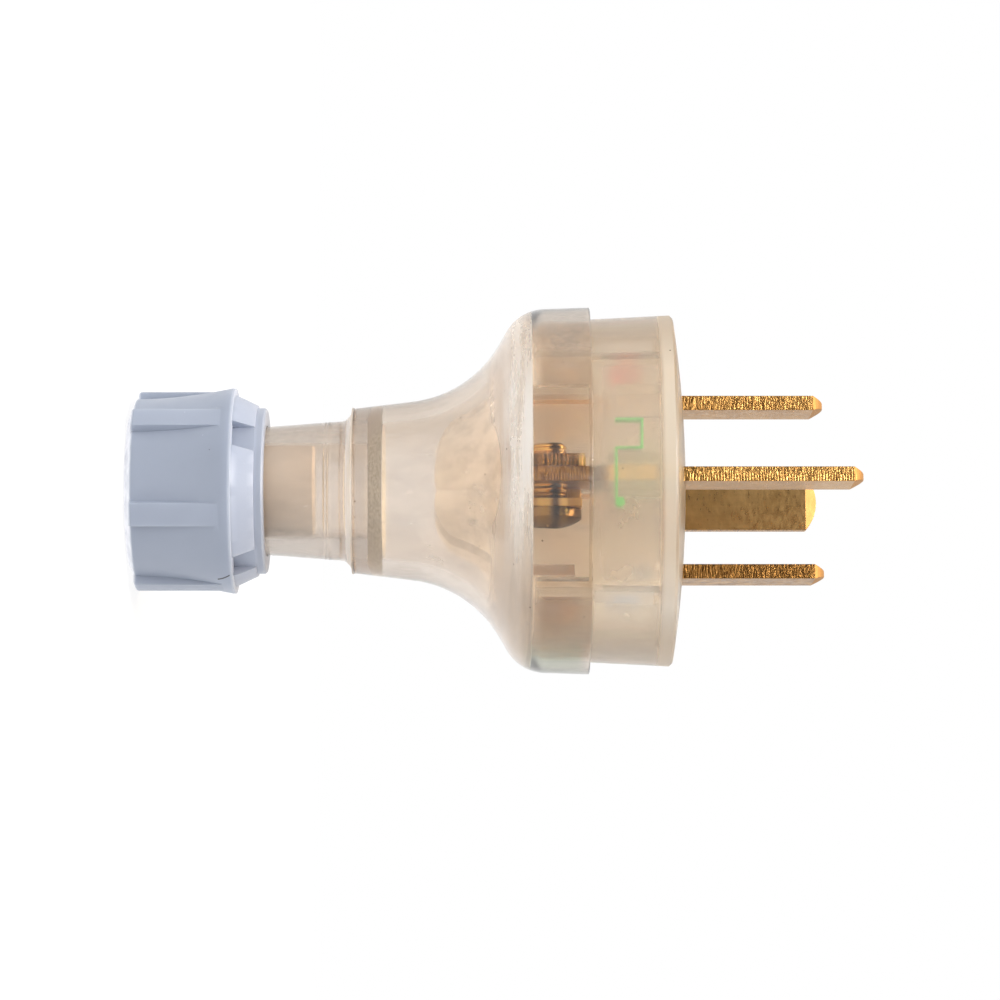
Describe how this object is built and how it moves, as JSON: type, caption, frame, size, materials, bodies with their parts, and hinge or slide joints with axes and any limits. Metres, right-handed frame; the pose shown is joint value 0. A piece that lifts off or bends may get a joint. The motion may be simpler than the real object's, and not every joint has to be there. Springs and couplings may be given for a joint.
{
  "type": "extension plug",
  "caption": "Rewirable extension plug with flat pins, a clear bell-shaped housing, a hazy pin carrier and a ribbed gland nut that clamps the cord.",
  "frame": {"origin": "centre of the gland nut's flat end, which is the face the plug stands on", "axes": "+Z along the plug's axis towards the pins, -Y towards the earth pin, +X towards the blue phase pin"},
  "size_m": [0.0412, 0.0412, 0.0813],
  "materials": {
    "clear_plastic": "clear moulded polycarbonate, slightly warm",
    "hazy_plastic": "translucent, cloudy moulded polycarbonate",
    "nut_plastic": "blue-grey satin moulded nylon",
    "grip_plastic": "natural beige nylon",
    "brass": "sheared and brushed brass",
    "green_plastic": "green colour mark",
    "red_plastic": "red colour mark",
    "white_plastic": "white colour mark",
    "blue_plastic": "blue colour mark"
  },
  "bodies": {
    "plug_body": {"rear_housing": "clear_plastic", "pin_carrier": "hazy_plastic", "earth_pin": "brass", "phase_pin_red": "brass", "phase_pin_white": "brass", "phase_pin_blue": "brass", "terminal_screw_earth": "brass", "terminal_screw_red": "brass", "terminal_screw_white": "brass", "terminal_screw_blue": "brass", "terminal_nut_earth": "brass", "terminal_nut_red": "brass", "terminal_nut_white": "brass", "terminal_nut_blue": "brass", "wire_saddle_earth": "brass", "wire_saddle_red": "brass", "wire_saddle_white": "brass", "wire_saddle_blue": "brass", "colour_tab_earth": "green_plastic", "colour_tab_red": "red_plastic", "colour_tab_white": "white_plastic", "colour_tab_blue": "blue_plastic"},
    "grip_sleeve": {"cord_grip": "grip_plastic"},
    "nut": {"gland_nut": "nut_plastic"}
  },
  "joints": [
    {"name": "grip_slide", "type": "slide", "parent": "plug_body", "child": "grip_sleeve", "axis": [0, 0, -1], "range_m": [0, 0.004]},
    {"name": "nut_turn", "type": "hinge", "parent": "grip_sleeve", "child": "nut", "pos_m": [0, 0, 0.008], "axis": [0, 0, -1], "range_deg": [0, 720]}
  ],
  "couplings": [
    {"joint": "grip_slide", "follows": "nut_turn", "m_per_rad": 0.000318}
  ]
}
